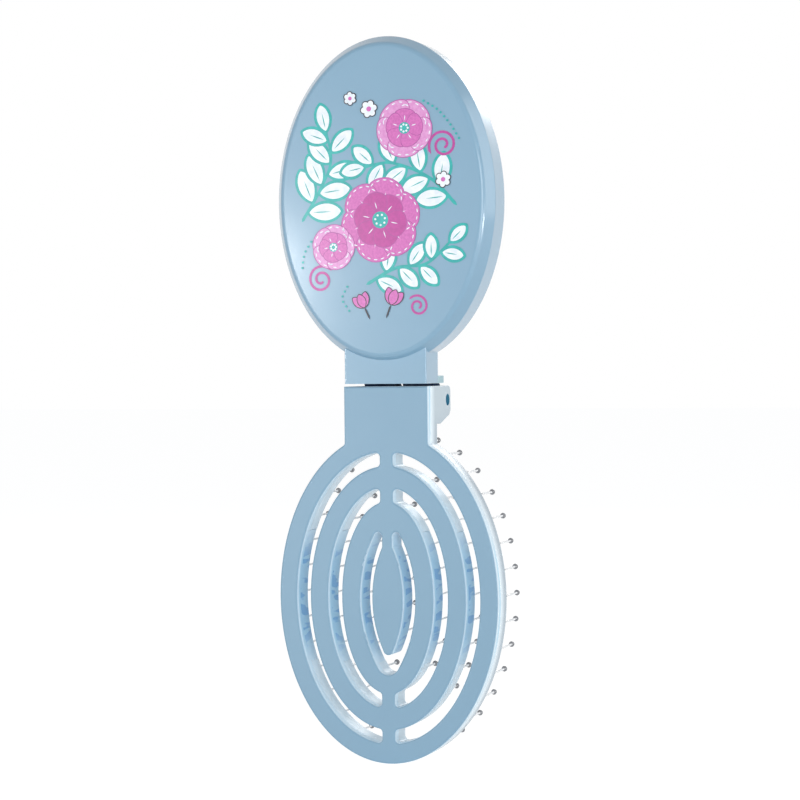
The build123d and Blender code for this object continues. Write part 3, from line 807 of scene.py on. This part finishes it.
def leafy_stem(sheet, points, leaf_length, leaf_half_width, leaves, first_side=1):
    """A teal stem with white leaves on both sides by turns and one at its end, each with a teal
    edge. They get smaller towards the end."""
    path = curve(points)
    sheet.stroke("teal", path, *STEM_PEN)
    for i in range(leaves):
        foot = round((FIRST_LEAF + LEAFY_SHARE * i / (leaves - 1)) * (len(path) - 2))
        along = path[foot + 1] - path[foot]
        side = first_side * (1 if i % 2 else -1)
        splay = 0.0 if i == leaves - 1 else side * LEAF_SPLAY
        angle = math.atan2(along.y, along.x) + splay
        size = 1 - LEAF_SHRINK * i / leaves
        base = path[foot] + heading(angle) * LEAF_FOOT
        length = leaf_length * size * MM
        width = leaf_half_width * size * MM
        sheet.blade("teal", base, angle, length, width, LEAF, BORDER)
        sheet.blade("white", base, angle, length, width, LEAF)
        tip = base + heading(angle) * length
        sheet.stroke("teal", [base.lerp(tip, way) for way in LEAF_VEIN], *LEAF_VEIN_PEN)


def daisy(sheet, middle, radius, turn):
    """A small white daisy with a fine black edge."""
    middle = Vector(middle) * MM
    length = radius * MM
    for ink, grow in (("black", FINE_LINE), ("white", 0.0)):
        for i in range(DAISY_PETALS):
            angle = turn + 2 * math.pi * i / DAISY_PETALS
            sheet.blade(ink, middle, angle, length, DAISY_WIDTH * length, DAISY_PETAL, grow)
    sheet.dot("pink", middle, DAISY_HEART * length)


def tulip(sheet, base, turn, size):
    """A small pink tulip of three pointed petals with a fine black edge, the middle one shorter."""
    base = Vector(base) * MM
    stalk_end = base - heading(turn) * TULIP_STALK * size * MM
    sheet.stroke("black", [base.lerp(stalk_end, step / 4) for step in range(5)], STALK_HALF_WIDTH)
    for splay in TULIP_SPLAYS:
        length = size * MM * (1.0 if splay else MIDDLE_PETAL)
        sheet.blade("black", base, turn + splay, length, TULIP_WIDTH * size * MM, TULIP_PETAL, FINE_LINE)
        sheet.blade("pink", base, turn + splay, length, TULIP_WIDTH * size * MM, TULIP_PETAL)


def print_lid(inks):
    """The layout of the print, in millimetres from the lid's middle."""
    sheet = Print()
    leafy_stem(sheet, [(-21, -5), (-16.5, 2), (-13, 10), (-14.5, 18.5)], 8.4, 2.1, 9)
    leafy_stem(sheet, [(20, -2), (13, 5), (3, 9), (-5, 8)], 7.6, 2.0, 9, -1)
    leafy_stem(sheet, [(-4, -21), (4, -17), (12, -16), (19, -10)], 6.6, 1.7, 8)
    sheet.stroke("magenta", curl((16.5, 13), 3.8, 0.6, -1.8), 0.32 * MM)
    sheet.stroke("magenta", curl((-16, -19.5), 3.6, 0.1, 1.8), 0.32 * MM)
    sheet.stroke("magenta", curl((9.5, -26.5), 2.8, 0.4, -1.6), 0.28 * MM)
    sheet.dotted_paths.append(curve([(11.5, 24), (15, 21.8), (18, 18.5), (20.6, 14.5)]))
    sheet.dotted_paths.append(curve([(-18.5, -10), (-20.4, -13), (-21, -16.5)]))
    sheet.dotted_paths.append(curve([(-9, -21.4), (-10.4, -24.4), (-8.6, -27.4)]))
    blossom(sheet, (0, -5), 10.5, 6, 0.3, ("pink", "magenta", "teal"))
    blossom(sheet, (6.5, 17.5), 7.2, 5, 0.9, ("pale_pink", "pink", "teal"))
    blossom(sheet, (-12.5, -11.5), 5.6, 5, 0.1, ("pale_pink", "pink", "teal"))
    daisy(sheet, (-2.8, 22.6), 2.1, 0.2)
    daisy(sheet, (-7.8, 25.4), 1.6, 0.6)
    daisy(sheet, (16.5, 4.5), 1.9, 0.4)
    tulip(sheet, (2.5, -26), 1.2, 4.2)
    tulip(sheet, (-4.5, -26.6), 2.0, 3.8)
    sheet.finish(inks)


# ---------------------------------------------------------------- stage

def seen_directly(tree):
    """1 where the camera looks, straight on or by way of gloss or glass, and 0 for the light itself."""
    seen = add_node(tree, "ShaderNodeLightPath").outputs
    direct = add_node(tree, "ShaderNodeMath", {0: seen["Is Camera Ray"], 1: seen["Is Glossy Ray"]},
                      operation="MAXIMUM")
    through = add_node(tree, "ShaderNodeMath", {0: direct.outputs[0], 1: seen["Is Transmission Ray"]},
                       operation="MAXIMUM")
    return through.outputs[0]


def lay_floor():
    """A softly lit white floor that keeps a faint shadow: what the camera sees is mostly its own
    white, and partly the light on it."""
    finish, tree = new_finish("studio_paper")
    bounce = add_node(tree, "ShaderNodeBsdfDiffuse", {"Color": linear("#E8E8E8")})
    lit = add_node(tree, "ShaderNodeEmission", {"Color": linear("#FFFFFF"), "Strength": FLOOR_LIGHT})
    paper = add_node(tree, "ShaderNodeAddShader", {0: bounce.outputs[0], 1: lit.outputs[0]})
    shaded = add_node(tree, "ShaderNodeBsdfDiffuse", {"Color": linear("#A0A0A0")})
    glow = add_node(tree, "ShaderNodeEmission", {"Color": linear("#FFFFFF"), "Strength": FLOOR_SEEN})
    shown = add_node(tree, "ShaderNodeAddShader", {0: shaded.outputs[0], 1: glow.outputs[0]})
    mixed = add_node(tree, "ShaderNodeMixShader", {
        0: seen_directly(tree), 1: paper.outputs[0], 2: shown.outputs[0]})
    add_node(tree, "ShaderNodeOutputMaterial", {"Surface": mixed.outputs[0]})
    corners = [(x * FLOOR_HALF, y * FLOOR_HALF, FLOOR_Z) for x, y in ((-1, -1), (1, -1), (1, 1), (-1, 1))]
    floor = mesh_object("studio_floor", corners, faces=[(0, 1, 2, 3)])
    floor.data.materials.append(finish)


def light_room():
    """White all round for what the camera, the gloss and the glass see, and a gentler fill light."""
    world = bpy.data.worlds.new("studio")
    bpy.context.scene.world = world
    world.use_nodes = True
    tree = world.node_tree
    tree.nodes.clear()
    fill = add_node(tree, "ShaderNodeBackground", {"Color": linear("#F6FAFF"), "Strength": FILL_LIGHT})
    white = add_node(tree, "ShaderNodeBackground", {"Color": linear("#FFFFFF"), "Strength": 1.0})
    mixed = add_node(tree, "ShaderNodeMixShader", {
        0: seen_directly(tree), 1: fill.outputs[0], 2: white.outputs[0]})
    add_node(tree, "ShaderNodeOutputWorld", {"Surface": mixed.outputs[0]})


def bearing(azimuth, elevation):
    """The step of one metre from the middle of the brush towards an azimuth and an elevation."""
    turn = math.radians(azimuth)
    rise = math.radians(elevation)
    return Vector((math.sin(turn) * math.cos(rise), -math.cos(turn) * math.cos(rise), math.sin(rise)))


def hang_softbox(name, azimuth, elevation, distance, width, height, power):
    """A lamp that looks at the middle of the brush from an azimuth and an elevation."""
    lamp = bpy.data.lights.new(name, "AREA")
    lamp.shape = "RECTANGLE"
    lamp.size = width
    lamp.size_y = height
    lamp.energy = power
    back = bearing(azimuth, elevation)
    thing = bpy.data.objects.new(name, lamp)
    thing.location = Vector(CAMERA_AIM) + back * distance
    thing.rotation_euler = back.to_track_quat("Z", "Y").to_euler()
    bpy.context.scene.collection.objects.link(thing)


def set_camera():
    back = bearing(CAMERA_AZIMUTH, CAMERA_ELEVATION)
    right = Vector((0, 0, 1)).cross(back).normalized()
    up = back.cross(right)
    roll = math.radians(CAMERA_ROLL)
    rolled_right = right * math.cos(roll) + up * math.sin(roll)
    rolled_up = up * math.cos(roll) - right * math.sin(roll)
    data = bpy.data.cameras.new("camera")
    data.sensor_width = SENSOR
    data.lens = PIXELS_PER_MM * CAMERA_DISTANCE / MM / FRAME_PIXELS * SENSOR
    data.clip_start = CLIP[0]
    data.clip_end = CLIP[1]
    camera = bpy.data.objects.new("camera", data)
    place = Matrix((rolled_right, rolled_up, back)).transposed().to_4x4()
    place.translation = Vector(CAMERA_AIM) + back * CAMERA_DISTANCE
    camera.matrix_world = place
    bpy.context.scene.collection.objects.link(camera)
    bpy.context.scene.camera = camera


# ---------------------------------------------------------------- the scene

set_camera()
# The front plate's vent walls get painted light.
vented_blue = moulded_abs("moulded_abs_satin_blue_vented", "#82A6BD", "#7EA2BA", 0.45, 0.0, paints_vent_walls=True)
# The lid frame's blue is painted paler than the cover's, as painted light on its sides and flange, with
# painted shade on its hinge lugs.
frame_blue_lit_and_shaded = moulded_abs("moulded_abs_satin_blue_frame_lit_and_shaded", "#A6C4CA", "#A1BFC8", 0.5, 0.0,
                           hinge_shade_top=COVER_LOW.z)
lacquered_blue = moulded_abs("moulded_abs_lacquered_blue", "#7CA4BD", "#78A0BA", 0.4, 1.0)
CAD_FINISHES = {
    "brush_front_plate": vented_blue,
    "lid_frame": frame_blue_lit_and_shaded,
    "lid_cover": lacquered_blue,
    "bristle_carrier": milky_styrene(),
    "hinge_pin": turned_acetal(),
    "mirror_glass": silvered_glass(),
    "mirror_pad": foam_tape(),
}
for node_name, node_finish in CAD_FINISHES.items():
    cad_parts[node_name].material_slots[0].material = node_finish

plant_bristles(drawn_nylon(), dipped_epoxy())
print_lid({
    "teal": pad_ink("pad_ink_teal", "#2FB5B0", "#25A5A3", 1.5 * MM),
    "white": pad_ink("pad_ink_white", "#F4F8FC", "#E4EDF6", 2.0 * MM),
    "pink": pad_ink("pad_ink_pink", "#D873BE", "#C964B0", 0.6 * MM),
    "pale_pink": pad_ink("pad_ink_pale_pink", "#E3A3D6", "#D98CC9", 0.8 * MM),
    "magenta": pad_ink("pad_ink_magenta", "#C2479F", "#B54296", 0.7 * MM),
    "plum": pad_ink("pad_ink_plum", "#B454A0", "#A54C96", 0.9 * MM),
    "black": pad_ink("pad_ink_black", "#1B1622", "#262030", 0.9 * MM),
})

lay_floor()
light_room()
for lamp_name, lamp_values in SOFTBOXES.items():
    hang_softbox(lamp_name, *lamp_values)
bpy.context.scene.view_settings.view_transform = "Standard"
